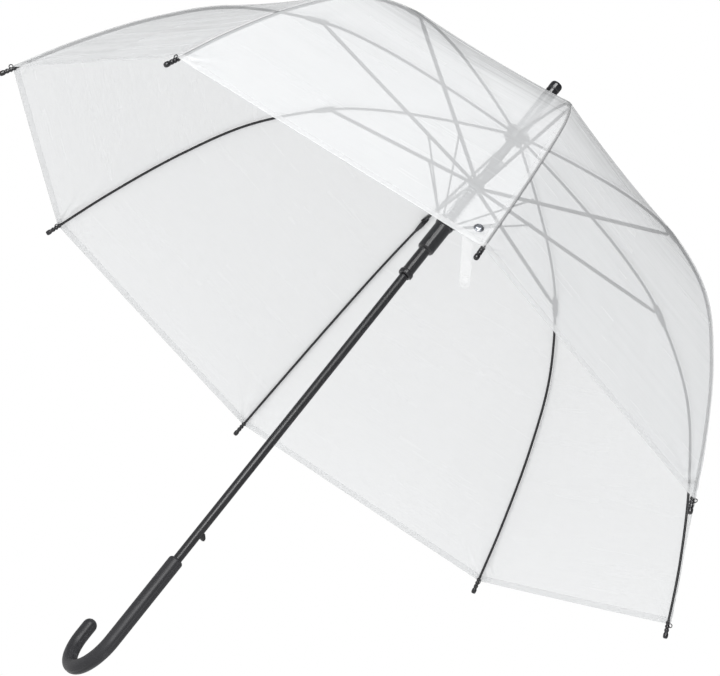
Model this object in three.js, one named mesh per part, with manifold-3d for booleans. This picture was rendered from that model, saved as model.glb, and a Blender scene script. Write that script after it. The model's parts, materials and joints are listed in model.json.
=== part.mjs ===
import * as THREE from "three";
import { mergeVertices } from "three/addons/utils/BufferGeometryUtils.js";
import Module from "manifold-3d";

// A straight clear-film dome umbrella with a crook handle and a spring-opened frame of eight
// ribs, shown open.
// Millimetres. The origin is the middle of the hand grip, +Z runs along the shaft to the ferrule, and +X is
// the side that the crook's open end is on.

// Driving dimensions
const RIB_COUNT = 8;
const FIRST_RIB_DEG = 28.3; // the crook is glued on at this turn from the nearest rib
const CLEARANCE = 0.35;
const ROUND = 32; // segments round a large turned part
const FINE = 20; // segments round a small one

// One rib's centreline as radius and height: crown pivot, shoulder, joint of its two halves, flank and tip
const CROWN_PIVOT = [8, 667.4];
const RIB_JOINT = [241.7, 619.2];
const RIB_TIP = [465, 332];
const RIB_LINE = [
  CROWN_PIVOT, [93, 656.6], [180, 640.2], RIB_JOINT, [326, 563.7], [381, 495], [428, 413], RIB_TIP,
];
const RIB_R = 1.5;
const RIB_JOINT_GAP = 0.9; // each half of a rib stops this far from the joint
const TIP_CAP_LENGTH = 19;
const TIP_CAP_R = 2.5;

const SHAFT_R = 5;
const SHAFT_BORE_R = 4.4;
const SHAFT_TOP_Z = 690;
const RUNNING_FIT = 0.3; // between the shaft and what slides on it

const HUB_PIVOT = [7.4, 590.2];
const HUB_R = 8.9;
const HUB_HALF = 4;
const STRETCHER_R = 1.3;
const STRETCHER_SIDE = 3.3; // stretchers lie beside their ribs
const STRETCHER_END = [241.2, 616.3]; // just under the rib's joint

const LINK_PIVOT = [9.5, 533];
const LINK_R = 1;
const LINK_JOINT_R = 74.4; // radius at which a link meets its stretcher
const RUNNER_FLANGE_R = 10.8;
const RUNNER_SLEEVE_R = 9.6;
const RUNNER_NECK_R = 6.8;
const RUNNER_COLLAR_R = 8.2;
const RUNNER_SLEEVE_Z = 493;
const RUNNER_NECK_Z = 461;
const RUNNER_FOOT_Z = 455;
const NOTCH_HEIGHT = 3.6; // lets the closed runner sit over the release button's slope

const SPRING_TURNS = 11;
const SPRING_R = 7;
const SPRING_WIRE_R = 0.6;

const CROWN_R = 11.5;
const CROWN_BOTTOM_Z = 659;
const CROWN_TOP_Z = 669;

const GRIP_TOP_Z = 54;
const CROOK_Z = -54; // where the straight grip turns into the crook
const CROOK_R = 38;
const CROOK_RISE = 12; // straight end of the crook above CROOK_Z
const GRIP_R = 8.1;
const SHAFT_SOCKET_Z = 4; // bottom of the shaft inside the grip

const BUTTON_Z = 90.7;
const BUTTON_HEIGHT = 7;
const BUTTON_WIDTH = 4.4;
const BUTTON_REACH = 10; // from the shaft's axis to the pressed face
const BUTTON_BACK = 3;

const FILM = 0.8;
const FILM_LIFT = 2.4; // from a rib's centreline to the film's inner face
const FILM_TOP_R = 9;
const FILM_STATIONS = 19;
const PANEL_HALF_TURN = Math.PI / RIB_COUNT;
const PANEL_SEAM_GAP = 0.3;

const WASHER_R = 15;
const WASHER_Z = CROWN_PIVOT[1] + FILM_LIFT + FILM + CLEARANCE;
const WASHER_HEIGHT = 3.5;
const FERRULE_R = 7.2;
const FERRULE_TOP_R = 6.6;
const FERRULE_TOP_Z = 747.5;

// The closing strap hangs from the hem beside one rib's tip, and its press stud sits just above it
const STRAP_RIB = 4;
const STRAP_BESIDE = 18; // from the rib
const STRAP_ABOVE_TIP = 20; // along the rib
const STRAP_DROP = [5, 28, -47]; // outward, sideways and up
const STRAP_WIDTH = 10;
const STRAP_THICKNESS = 0.8;
const STRAP_LIFT = 1.6; // its middle, off the film
const STUD_BESIDE = 13.4;
const STUD_ABOVE_TIP = 34;
const STUD_R = 4.8;
const STUD_HEIGHT = 3.2;

const wasm = await Module();
wasm.setup();

const COATED_STEEL = { color: 0x17181b, roughness: 0.35, metalness: 0.6 };
const GLOSS_PLASTIC = { color: 0x121316, roughness: 0.22, metalness: 0 };
const SATIN_PLASTIC = { color: 0x37373a, roughness: 0.5, metalness: 0 };
const SPRING_STEEL = { color: 0x8c9096, roughness: 0.3, metalness: 0.9 };
const CLEAR_FILM = { color: 0xe9ecee, roughness: 0.15, metalness: 0, transparent: true, opacity: 0.3 };
const STUD_METAL = { color: 0xb4b8bd, roughness: 0.25, metalness: 1 };

function part(name, geometry, look) {
  const mesh = new THREE.Mesh(geometry, new THREE.MeshStandardMaterial(look));
  mesh.name = name;
  return mesh;
}

function toSolid(geometry) {
  const bare = geometry.clone();
  bare.deleteAttribute("normal");
  bare.deleteAttribute("uv");
  const merged = mergeVertices(bare, 1e-4);
  return new wasm.Manifold(new wasm.Mesh({
    numProp: 3,
    vertProperties: new Float32Array(merged.attributes.position.array),
    triVerts: new Uint32Array(merged.index.array),
  }));
}

function toGeometry(solid) {
  const mesh = solid.getMesh();
  const geometry = new THREE.BufferGeometry();
  geometry.setAttribute("position", new THREE.BufferAttribute(mesh.vertProperties, 3));
  geometry.setIndex(new THREE.BufferAttribute(mesh.triVerts, 1));
  geometry.computeVertexNormals();
  return geometry;
}

function cut(body, tools) {
  return toGeometry(tools.reduce((left, tool) => left.subtract(toSolid(tool)), toSolid(body)));
}

// A part turned about the Z axis from a profile of radius and height, drawn anticlockwise
function turned(profile, segments) {
  const points = profile.map(([radius, height]) => new THREE.Vector2(radius, height));
  return new THREE.LatheGeometry(points, segments).rotateX(Math.PI / 2);
}

function ring(inner, outer, bottom, top, segments) {
  return turned([[inner, bottom], [outer, bottom], [outer, top], [inner, top], [inner, bottom]], segments);
}

function box(low, high) {
  const size = high.map((value, i) => value - low[i]);
  const middle = high.map((value, i) => (value + low[i]) / 2);
  return new THREE.BoxGeometry(...size).translate(...middle);
}

function circle(radius, sides) {
  const points = [];
  for (let i = 0; i < sides; i += 1) {
    const angle = (i / sides) * 2 * Math.PI;
    points.push(new THREE.Vector2(radius * Math.cos(angle), radius * Math.sin(angle)));
  }
  return new THREE.Shape(points);
}

function tube(curve, radius, sides, steps) {
  return new THREE.ExtrudeGeometry(circle(radius, sides), { extrudePath: curve, steps, bevelEnabled: false });
}

// A straight rod in a rib's plane, from one radius and height to another, at some distance beside the rib
function rod(from, to, radius, side) {
  const ends = [from, to].map(([r, z]) => new THREE.Vector3(r, side, z));
  return tube(new THREE.LineCurve3(...ends), radius, 8, 1);
}

const ribPoints = RIB_LINE.map(([r, z]) => new THREE.Vector3(r, 0, z));
const ribCurve = new THREE.CatmullRomCurve3(ribPoints, false, "centripetal");
ribCurve.arcLengthDivisions = 800;
const RIB_LENGTH = ribCurve.getLength();
const JOINT_SHARE = shareAtRadius(RIB_JOINT[0]);

function shareAtRadius(radius) {
  let [low, high] = [0, 1];
  for (let i = 0; i < 50; i += 1) {
    const middle = (low + high) / 2;
    if (ribCurve.getPointAt(middle).x < radius) low = middle;
    else high = middle;
  }
  return (low + high) / 2;
}

function stretch(from, to, count) {
  const points = [];
  for (let i = 0; i <= count; i += 1) points.push(ribCurve.getPointAt(from + ((to - from) * i) / count));
  return points;
}

function ribPiece(from, to, steps) {
  return tube(new THREE.CatmullRomCurve3(stretch(from, to, steps)), RIB_R, 8, steps);
}

function ribInner() {
  return ribPiece(0, JOINT_SHARE - RIB_JOINT_GAP / RIB_LENGTH, 9);
}

function ribOuter() {
  return ribPiece(JOINT_SHARE + RIB_JOINT_GAP / RIB_LENGTH, 1 - 4 / RIB_LENGTH, 14);
}

function ribTipCap() {
  const bore = RIB_R + CLEARANCE;
  const mouth = -TIP_CAP_LENGTH;
  const cap = turned([
    [0, 0], [0, -3], [bore, -3], [bore, mouth], [TIP_CAP_R - 0.2, mouth], [TIP_CAP_R, mouth + 2],
    [TIP_CAP_R - 0.3, -2], [TIP_CAP_R - 1.2, -0.4], [0, 0],
  ], 12);
  const along = ribCurve.getTangentAt(1);
  const turn = new THREE.Quaternion().setFromUnitVectors(new THREE.Vector3(0, 0, 1), along);
  return cap.applyQuaternion(turn).translate(...ribCurve.getPointAt(1).toArray());
}

function stretcher() {
  return rod(HUB_PIVOT, STRETCHER_END, STRETCHER_R, STRETCHER_SIDE);
}

function link() {
  const share = (LINK_JOINT_R - HUB_PIVOT[0]) / (STRETCHER_END[0] - HUB_PIVOT[0]);
  const end = [LINK_JOINT_R, HUB_PIVOT[1] + share * (STRETCHER_END[1] - HUB_PIVOT[1])];
  return rod(LINK_PIVOT, end, LINK_R, 0);
}

// Eight slots round a hub, each open outward and through both faces
function slots(pivot, rodR, side) {
  const near = pivot[0] - rodR - CLEARANCE;
  const gap = rodR + CLEARANCE;
  return ribTurns().map((turn) => box(
    [near, side - gap, pivot[1] - 3 * HUB_HALF],
    [near + 12, side + gap, pivot[1] + 3 * HUB_HALF],
  ).rotateZ(turn));
}

function ribTurns() {
  const step = 360 / RIB_COUNT;
  return Array.from({ length: RIB_COUNT }, (_, k) => THREE.MathUtils.degToRad(FIRST_RIB_DEG + step * k));
}

function crown() {
  const inner = SHAFT_R + CLEARANCE;
  const body = ring(inner, CROWN_R, CROWN_BOTTOM_Z, CROWN_TOP_Z, ROUND);
  return cut(body, slots(CROWN_PIVOT, RIB_R, 0));
}

function upperHub() {
  const [, z] = HUB_PIVOT;
  const body = ring(SHAFT_R + RUNNING_FIT, HUB_R, z - HUB_HALF, z + HUB_HALF, ROUND);
  const neck = ring(SHAFT_R + RUNNING_FIT, 6.2, z + HUB_HALF - 1, z + HUB_HALF + 9, FINE);
  const joined = toGeometry(toSolid(body).add(toSolid(neck)));
  return cut(joined, slots(HUB_PIVOT, STRETCHER_R, STRETCHER_SIDE));
}

function runner() {
  const bore = SHAFT_R + RUNNING_FIT;
  const top = LINK_PIVOT[1] + HUB_HALF;
  const under = LINK_PIVOT[1] - HUB_HALF;
  const body = turned([
    [bore, RUNNER_FOOT_Z], [RUNNER_COLLAR_R - 0.6, RUNNER_FOOT_Z], [RUNNER_COLLAR_R, RUNNER_FOOT_Z + 0.8],
    [RUNNER_COLLAR_R, RUNNER_NECK_Z - 0.8], [RUNNER_COLLAR_R - 0.6, RUNNER_NECK_Z],
    [RUNNER_NECK_R, RUNNER_NECK_Z],
    [RUNNER_NECK_R, RUNNER_SLEEVE_Z], [RUNNER_SLEEVE_R - 1.2, RUNNER_SLEEVE_Z],
    [RUNNER_SLEEVE_R, RUNNER_SLEEVE_Z + 1.5], [RUNNER_SLEEVE_R, under - 1], [RUNNER_FLANGE_R, under],
    [RUNNER_FLANGE_R, top], [bore, top], [bore, RUNNER_FOOT_Z],
  ], ROUND);
  const notch = box([-2.6, -RUNNER_COLLAR_R - 1, RUNNER_FOOT_Z - 1], [2.6, -4, RUNNER_FOOT_Z + NOTCH_HEIGHT]);
  return cut(body, [...slots(LINK_PIVOT, LINK_R, 0), notch]);
}

class Helix extends THREE.Curve {
  constructor(radius, bottom, top, turns) {
    super();
    Object.assign(this, { radius, bottom, top, turns });
  }

  getPoint(t, target = new THREE.Vector3()) {
    const angle = 2 * Math.PI * this.turns * t;
    const z = this.bottom + (this.top - this.bottom) * t;
    return target.set(this.radius * Math.cos(angle), this.radius * Math.sin(angle), z);
  }
}

function openingSpring() {
  const bottom = LINK_PIVOT[1] + HUB_HALF + SPRING_WIRE_R + CLEARANCE;
  const top = HUB_PIVOT[1] - HUB_HALF - SPRING_WIRE_R - CLEARANCE;
  return tube(new Helix(SPRING_R, bottom, top, SPRING_TURNS), SPRING_WIRE_R, 6, SPRING_TURNS * 14);
}

function shaft() {
  const body = ring(SHAFT_BORE_R, SHAFT_R, SHAFT_SOCKET_Z, SHAFT_TOP_Z, FINE);
  const half = BUTTON_WIDTH / 2 + CLEARANCE;
  const reach = BUTTON_HEIGHT / 2 + 0.6;
  return cut(body, [box([-half, -SHAFT_R - 2, BUTTON_Z - reach], [half, -2, BUTTON_Z + reach])]);
}

class CrookLine extends THREE.Curve {
  getPoint(t, target = new THREE.Vector3()) {
    const straight = GRIP_TOP_Z - CROOK_Z;
    const bend = Math.PI * CROOK_R;
    const along = t * (straight + bend + CROOK_RISE);
    if (along < straight) return target.set(0, 0, GRIP_TOP_Z - along);
    if (along > straight + bend) return target.set(2 * CROOK_R, 0, CROOK_Z + along - straight - bend);
    const angle = (along - straight) / CROOK_R;
    return target.set(CROOK_R * (1 - Math.cos(angle)), 0, CROOK_Z - CROOK_R * Math.sin(angle));
  }
}

function handle() {
  const swept = toSolid(tube(new CrookLine(), GRIP_R, 20, 48));
  const end = new THREE.SphereGeometry(GRIP_R, 20, 12).rotateX(Math.PI / 2)
    .translate(2 * CROOK_R, 0, CROOK_Z + CROOK_RISE);
  const socket = new THREE.CylinderGeometry(SHAFT_R + CLEARANCE, SHAFT_R + CLEARANCE, 60, FINE)
    .rotateX(Math.PI / 2).translate(0, 0, SHAFT_SOCKET_Z - CLEARANCE + 30);
  return toGeometry(swept.add(toSolid(end)).subtract(toSolid(socket)));
}

// The nub's upper side slopes so that the runner can ride over it; its lower side is square
function releaseButton() {
  const low = BUTTON_Z - BUTTON_HEIGHT / 2;
  const high = BUTTON_Z + BUTTON_HEIGHT / 2;
  const outline = new THREE.Shape([
    new THREE.Vector2(BUTTON_BACK, low), new THREE.Vector2(BUTTON_REACH, low),
    new THREE.Vector2(BUTTON_REACH, low + 3.5), new THREE.Vector2(SHAFT_R + 1, high),
    new THREE.Vector2(BUTTON_BACK, high),
  ]);
  const wedge = new THREE.ExtrudeGeometry(outline, { depth: BUTTON_WIDTH, bevelEnabled: false });
  return wedge.rotateX(Math.PI / 2).rotateZ(-Math.PI / 2).translate(BUTTON_WIDTH / 2, 0, 0);
}

function catchSpring() {
  const path = new THREE.CatmullRomCurve3([
    new THREE.Vector3(0, 3.2, 60), new THREE.Vector3(0, 3.1, 70), new THREE.Vector3(0, -0.6, 82),
    new THREE.Vector3(0, -1.9, 88), new THREE.Vector3(0, -2.2, 93),
  ]);
  return tube(path, 0.45, 6, 12);
}

// The film over one rib reaches halfway to its neighbours, flat on each side of the rib as stretched film is
function canopyPanel() {
  const hemShare = 1 - (TIP_CAP_LENGTH + 1) / RIB_LENGTH;
  const topShare = shareAtRadius(FILM_TOP_R);
  const sections = [];
  for (let i = 0; i < FILM_STATIONS; i += 1) {
    const share = topShare + ((hemShare - topShare) * i) / (FILM_STATIONS - 1);
    const point = ribCurve.getPointAt(share);
    const along = ribCurve.getTangentAt(share);
    const section = [FILM_LIFT, FILM_LIFT + FILM].map((lift) => {
      const r = point.x - along.z * lift;
      const z = point.z + along.x * lift;
      const flat = r * Math.cos(PANEL_HALF_TURN);
      const side = r * Math.sin(PANEL_HALF_TURN) - PANEL_SEAM_GAP / 2;
      const edge = [flat * Math.cos(PANEL_HALF_TURN), side * Math.cos(PANEL_HALF_TURN), z];
      return { middle: [r, 0, z], edge };
    });
    sections.push(section);
  }
  const rows = sections.map(([inner, outer]) => [
    mirrored(inner.edge), inner.middle, inner.edge, outer.edge, outer.middle, mirrored(outer.edge),
  ]);
  return skin(rows);
}

function mirrored([x, y, z]) {
  return [x, -y, z];
}

// A closed body from equal rings of points, joined row by row and capped at both ends by fans
function skin(rows) {
  const size = rows[0].length;
  const triangles = [];
  for (let i = 0; i + 1 < rows.length; i += 1) {
    for (let j = 0; j < size; j += 1) {
      const [a, b] = [i * size + j, i * size + ((j + 1) % size)];
      triangles.push(a, b, a + size, b, b + size, a + size);
    }
  }
  const last = (rows.length - 1) * size;
  for (const [a, b, c] of [[0, 1, 4], [0, 4, 5], [1, 2, 3], [1, 3, 4]]) {
    triangles.push(a, c, b, last + a, last + b, last + c);
  }
  const geometry = new THREE.BufferGeometry();
  geometry.setAttribute("position", new THREE.Float32BufferAttribute(rows.flat(2), 3));
  geometry.setIndex(triangles);
  geometry.computeVertexNormals();
  return geometry;
}

function canopyWasher() {
  const base = WASHER_Z;
  const inner = SHAFT_R + CLEARANCE;
  return turned([
    [inner, base], [WASHER_R, base], [WASHER_R, base + 1], [inner + 4, base + WASHER_HEIGHT],
    [inner, base + WASHER_HEIGHT], [inner, base],
  ], ROUND);
}

function ferrule() {
  const base = WASHER_Z + WASHER_HEIGHT + CLEARANCE;
  const bore = SHAFT_R + CLEARANCE;
  const floor = SHAFT_TOP_Z + CLEARANCE;
  return turned([
    [0, floor], [bore, floor], [bore, base], [FERRULE_R, base], [FERRULE_R - 0.2, base + 8],
    [FERRULE_TOP_R + 0.4, FERRULE_TOP_Z - 2], [FERRULE_TOP_R - 0.6, FERRULE_TOP_Z], [0, FERRULE_TOP_Z],
  ], FINE);
}

// A place just off the film's outer face, beside a rib on its lower-numbered side, and which way it faces
function offFilm(beside, aboveTip) {
  const share = 1 - aboveTip / RIB_LENGTH;
  const rib = ribCurve.getPointAt(share);
  const along = ribCurve.getTangentAt(share);
  const lift = new THREE.Vector3(-along.z, 0, along.x).multiplyScalar(FILM_LIFT + FILM);
  const slope = Math.tan(PANEL_HALF_TURN);
  const facing = new THREE.Vector3(-along.z, along.z * slope, along.x).normalize();
  const aside = new THREE.Vector3(-slope * beside, -beside, 0);
  const place = rib.add(lift).add(aside).addScaledVector(facing, CLEARANCE);
  return { place, facing };
}

function closingStrap() {
  const { place, facing } = offFilm(STRAP_BESIDE, STRAP_ABOVE_TIP);
  place.addScaledVector(facing, STRAP_LIFT);
  const size = Math.hypot(...STRAP_DROP);
  const strap = new THREE.BoxGeometry(STRAP_WIDTH, STRAP_THICKNESS, size).translate(0, 0, -size / 2);
  const down = new THREE.Vector3(...STRAP_DROP).normalize();
  const outward = facing.clone().projectOnPlane(down).normalize();
  const across = new THREE.Vector3().crossVectors(down, outward);
  const turn = new THREE.Matrix4().makeBasis(across, outward, down.clone().negate());
  return strap.applyMatrix4(turn).translate(...place.toArray());
}

// A round button with a domed face, standing on the film
function pressStud() {
  const stud = turned([
    [0, 0], [STUD_R - 0.8, 0], [STUD_R, 0.6], [STUD_R - 0.4, 1.6], [STUD_R / 2, STUD_HEIGHT - 0.4],
    [0, STUD_HEIGHT],
  ], FINE);
  const { place, facing } = offFilm(STUD_BESIDE, STUD_ABOVE_TIP);
  const turn = new THREE.Quaternion().setFromUnitVectors(new THREE.Vector3(0, 0, 1), facing);
  return stud.applyQuaternion(turn).translate(...place.toArray());
}

const umbrella = new THREE.Group();

ribTurns().forEach((turn, index) => {
  const number = index + 1;
  const sector = new THREE.Group();
  sector.rotation.z = turn;
  sector.add(
    part(`rib_inner_${number}`, ribInner(), COATED_STEEL),
    part(`rib_outer_${number}`, ribOuter(), COATED_STEEL),
    part(`rib_tip_${number}`, ribTipCap(), GLOSS_PLASTIC),
    part(`stretcher_${number}`, stretcher(), COATED_STEEL),
    part(`link_${number}`, link(), COATED_STEEL),
    part(`canopy_panel_${number}`, canopyPanel(), CLEAR_FILM),
  );
  if (number === STRAP_RIB) {
    sector.add(part("closing_strap", closingStrap(), CLEAR_FILM));
    sector.add(part("press_stud", pressStud(), STUD_METAL));
  }
  umbrella.add(sector);
});

umbrella.add(
  part("shaft", shaft(), COATED_STEEL),
  part("handle", handle(), SATIN_PLASTIC),
  part("crown", crown(), GLOSS_PLASTIC),
  part("canopy_washer", canopyWasher(), GLOSS_PLASTIC),
  part("ferrule", ferrule(), GLOSS_PLASTIC),
  part("upper_hub", upperHub(), GLOSS_PLASTIC),
  part("runner", runner(), GLOSS_PLASTIC),
  part("opening_spring", openingSpring(), SPRING_STEEL),
  part("release_button", releaseButton(), GLOSS_PLASTIC),
  part("catch_spring", catchSpring(), SPRING_STEEL),
);

export default umbrella;
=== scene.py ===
import json
import math

import bpy
import numpy as np
from mathutils import Matrix, Vector

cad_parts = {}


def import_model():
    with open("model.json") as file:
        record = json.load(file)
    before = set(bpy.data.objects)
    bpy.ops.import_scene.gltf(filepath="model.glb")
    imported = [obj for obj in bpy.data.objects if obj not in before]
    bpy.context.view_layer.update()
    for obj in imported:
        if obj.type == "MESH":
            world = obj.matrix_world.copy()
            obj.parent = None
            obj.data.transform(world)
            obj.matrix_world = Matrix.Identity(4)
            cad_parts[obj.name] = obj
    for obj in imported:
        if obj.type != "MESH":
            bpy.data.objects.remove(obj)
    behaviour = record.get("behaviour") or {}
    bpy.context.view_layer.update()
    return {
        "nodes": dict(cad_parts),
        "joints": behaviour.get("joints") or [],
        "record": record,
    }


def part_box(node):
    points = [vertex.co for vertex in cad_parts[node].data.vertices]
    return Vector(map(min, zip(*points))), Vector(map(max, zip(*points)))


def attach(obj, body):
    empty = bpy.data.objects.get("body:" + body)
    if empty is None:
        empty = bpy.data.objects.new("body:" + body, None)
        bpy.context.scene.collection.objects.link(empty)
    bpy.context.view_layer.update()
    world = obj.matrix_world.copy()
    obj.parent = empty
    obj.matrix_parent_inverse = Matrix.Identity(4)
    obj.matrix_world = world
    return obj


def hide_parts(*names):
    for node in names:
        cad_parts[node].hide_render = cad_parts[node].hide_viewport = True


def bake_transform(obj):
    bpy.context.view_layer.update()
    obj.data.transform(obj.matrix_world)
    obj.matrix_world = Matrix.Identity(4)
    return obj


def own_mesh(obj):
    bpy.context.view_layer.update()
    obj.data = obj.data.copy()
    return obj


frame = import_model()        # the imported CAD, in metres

# ---------------------------------------------------------------- camera

CAMERA_AT = Vector((-2.539, 1.010, -0.600))
CAMERA_AHEAD = Vector((0.8753, -0.3499, 0.3339)).normalized()
CAMERA_RIGHT = Vector((-0.4836, -0.6478, 0.5886))


def make_camera():
    data = bpy.data.cameras.new("camera")
    data.sensor_width = 36.0
    data.lens = 135.85
    data.clip_end = 60.0
    camera = bpy.data.objects.new("camera", data)
    right = (CAMERA_RIGHT - CAMERA_AHEAD * CAMERA_RIGHT.dot(CAMERA_AHEAD)).normalized()
    up = right.cross(CAMERA_AHEAD)
    turn = Matrix((right, up, -CAMERA_AHEAD)).transposed().to_4x4()
    camera.matrix_world = Matrix.Translation(CAMERA_AT) @ turn
    bpy.context.scene.collection.objects.link(camera)
    bpy.context.scene.camera = camera


make_camera()

# ---------------------------------------------------------------- the frame's measures

RIBS = range(1, 9)
HALF_PANEL = math.pi / 8
# One rib's centreline as radius and height, from the crown to the tip
RIB_LINE = [(0.008, 0.6674), (0.093, 0.6566), (0.180, 0.6402), (0.2417, 0.6192),
            (0.326, 0.5637), (0.381, 0.495), (0.428, 0.413), (0.465, 0.332)]
RIB_R = 0.0015
FILM_LIFT = 0.0026       # from a rib's centreline to the film
FILM_TOP_R = 0.0088
HEM_BACK = 0.0165        # the hem stops this far before the rib's end
HEM_DIP = -0.0005        # how far the hem is drawn down midway between ribs
HEM_WIDTH = 0.0068
HEM_HALF_THICK = 0.0005
SAG = 0.0026             # the stretched film lies this much inside a flat one, midway between ribs
SEAM_WIDTH = 0.0062
SEAM_LIFT = 0.0004
THIN_EDGE = 0.00008      # how far a welded layer's thinned edge stands off the film
JOINT_RADIUS = 0.2417    # where a rib's two halves meet
JOINT_GAP = 0.0009       # each half stops this far from the joint
SHARP_DEG = 34.0         # edges sharper than this stay sharp in shading

joint = {j["name"]: j for j in frame["joints"]}
PIVOT_AXIS = {k: joint[f"rib_{k}_pivot"]["axis"] for k in RIBS}
RIB_TURN = {k: math.atan2(-axis[0], axis[1]) for k, axis in PIVOT_AXIS.items()}


def in_rib(k, points):
    """Points given as radius, distance aside and height in rib k's own plane, in the shared frame."""
    p = np.asarray(points, float).reshape(-1, 3)
    c, s = math.cos(RIB_TURN[k]), math.sin(RIB_TURN[k])
    return np.stack([p[:, 0] * c - p[:, 1] * s, p[:, 0] * s + p[:, 1] * c, p[:, 2]], 1)


def dense_line(points, steps=60):
    """A centripetal Catmull-Rom line through the points."""
    p = np.asarray(points, float)
    p = np.vstack([2 * p[0] - p[1], p, 2 * p[-1] - p[-2]])
    out = []
    for i in range(1, len(p) - 2):
        a, b, c, d = p[i - 1:i + 3]
        ka, kb, kc = (max(np.linalg.norm(y - x), 1e-9) ** 0.5 for x, y in ((a, b), (b, c), (c, d)))
        m = ((b - a) / ka - (c - a) / (ka + kb) + (c - b) / kb) * kb
        n = ((c - b) / kb - (d - b) / (kb + kc) + (d - c) / kc) * kb
        for t in np.linspace(0, 1, steps, endpoint=False):
            out.append(b + m * t + (-3 * b + 3 * c - 2 * m - n) * t ** 2
                       + (2 * b - 2 * c + m + n) * t ** 3)
    return np.array(out + [p[-2]])


LINE = dense_line(RIB_LINE)
LINE_AT = np.concatenate([[0], np.cumsum(np.linalg.norm(np.diff(LINE, axis=0), axis=1))])
RIB_LENGTH = LINE_AT[-1]


def rib_point(s):
    """Radius and height of the rib at a distance along it from the crown, straight on past both ends."""
    s = np.asarray(s, float)
    inside = np.clip(s, 0, RIB_LENGTH)
    r, z = np.interp(inside, LINE_AT, LINE[:, 0]), np.interp(inside, LINE_AT, LINE[:, 1])
    t = rib_tangent(inside)
    return np.stack([r + (s - inside) * t[..., 0], z + (s - inside) * t[..., 1]], -1)


def rib_tangent(s):
    """The rib's direction, outward and down, at a distance along it."""
    s = np.clip(np.asarray(s, float), 0, RIB_LENGTH)
    low, high = np.clip(s - 0.004, 0, RIB_LENGTH), np.clip(s + 0.004, 0, RIB_LENGTH)
    d = np.stack([np.interp(high, LINE_AT, LINE[:, i]) - np.interp(low, LINE_AT, LINE[:, i])
                  for i in (0, 1)], -1)
    return d / np.linalg.norm(d, axis=-1, keepdims=True)


def along_at_radius(r):
    return float(np.interp(r, LINE[:, 0], LINE_AT))


JOINT_S = along_at_radius(JOINT_RADIUS)
TOP_S = along_at_radius(FILM_TOP_R)
HEM_S = RIB_LENGTH - HEM_BACK

# ---------------------------------------------------------------- materials


class Look:
    """A node material round one Principled shader."""

    def __init__(self, name, color, roughness, **sockets):
        self.material = bpy.data.materials.new(name)
        self.material.use_nodes = True
        self.nodes, self.links = self.material.node_tree.nodes, self.material.node_tree.links
        self.shader = self.nodes["Principled BSDF"]
        self.shader.inputs["Base Color"].default_value = (*color, 1)
        self.shader.inputs["Roughness"].default_value = roughness
        for key, value in sockets.items():
            self.shader.inputs[key.replace("_", " ")].default_value = value
        self.place = self.nodes.new("ShaderNodeTexCoord").outputs["Object"]

    def node(self, kind, links=(), **values):
        made = self.nodes.new(kind)
        for key, value in values.items():
            if hasattr(made, key):
                setattr(made, key, value)
            else:
                made.inputs[key.replace("_", " ")].default_value = value
        for name, source in dict(links).items():
            self.links.new(source, made.inputs[name])
        return made

    def noise(self, scale, detail=3.0, stretch=None, source=None):
        vector = source or self.place
        if stretch:
            vector = self.node("ShaderNodeMapping", {"Vector": vector}, Scale=stretch).outputs["Vector"]
        made = self.node("ShaderNodeTexNoise", {"Vector": vector}, Scale=scale, Detail=detail)
        return made.outputs["Fac"]

    def ramp(self, source, low, high, to_low, to_high):
        made = self.node("ShaderNodeMapRange", {"Value": source})
        for key, value in (("From Min", low), ("From Max", high),
                           ("To Min", to_low), ("To Max", to_high)):
            made.inputs[key].default_value = value
        return made.outputs["Result"]

    def reckon(self, operation, a, b=None):
        made = self.nodes.new("ShaderNodeMath")
        made.operation = operation
        self.links.new(a, made.inputs[0])
        if b is not None:
            self.links.new(b, made.inputs[1])
        return made.outputs[0]

    def mix(self, factor, a, b):
        made = self.node("ShaderNodeMix", data_type="RGBA")
        self.links.new(factor, made.inputs[0])
        for socket, value in ((made.inputs[6], a), (made.inputs[7], b)):
            if isinstance(value, tuple):
                socket.default_value = (*value, 1)
            else:
                self.links.new(value, socket)
        return made.outputs[2]

    def feed(self, name, source):
        self.links.new(source, self.shader.inputs[name])

    def bumps(self, *layers):
        """Layers of (height, strength, distance), each on top of the one before."""
        normal = None
        for height, strength, distance in layers:
            made = self.node("ShaderNodeBump", {"Height": height}, Strength=strength, Distance=distance)
            if normal:
                self.links.new(normal, made.inputs["Normal"])
            normal = made.outputs["Normal"]
        self.feed("Normal", normal)


def coated_steel():
    look = Look("coated_steel", (0.010, 0.010, 0.012), 0.26, Specular_IOR_Level=0.55)
    patches = look.noise(38.0, 4.0)
    scuffs = look.noise(260.0, 2.0, (1.0, 1.0, 0.12))
    rubbed = look.ramp(scuffs, 0.62, 0.80, 0.0, 1.0)
    black = look.mix(patches, (0.009, 0.009, 0.011), (0.017, 0.017, 0.020))
    look.feed("Base Color", look.mix(rubbed, black, (0.035, 0.036, 0.040)))
    look.feed("Roughness", look.ramp(patches, 0.3, 0.7, 0.22, 0.34))
    look.bumps((look.noise(1400.0, 2.0), 0.12, 0.0001), (look.noise(90.0, 2.0), 0.06, 0.0004))
    return look.material


def gloss_black():
    look = Look("gloss_black", (0.008, 0.008, 0.010), 0.18, Specular_IOR_Level=0.7)
    clouds = look.noise(60.0, 3.0)
    scratches = look.noise(420.0, 2.0, (1.0, 1.0, 0.08))
    look.feed("Base Color", look.mix(clouds, (0.007, 0.007, 0.009), (0.012, 0.012, 0.015)))
    look.feed("Roughness", look.ramp(clouds, 0.3, 0.7, 0.15, 0.24))
    look.bumps((scratches, 0.05, 0.0002), (clouds, 0.10, 0.0006))
    return look.material


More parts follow.
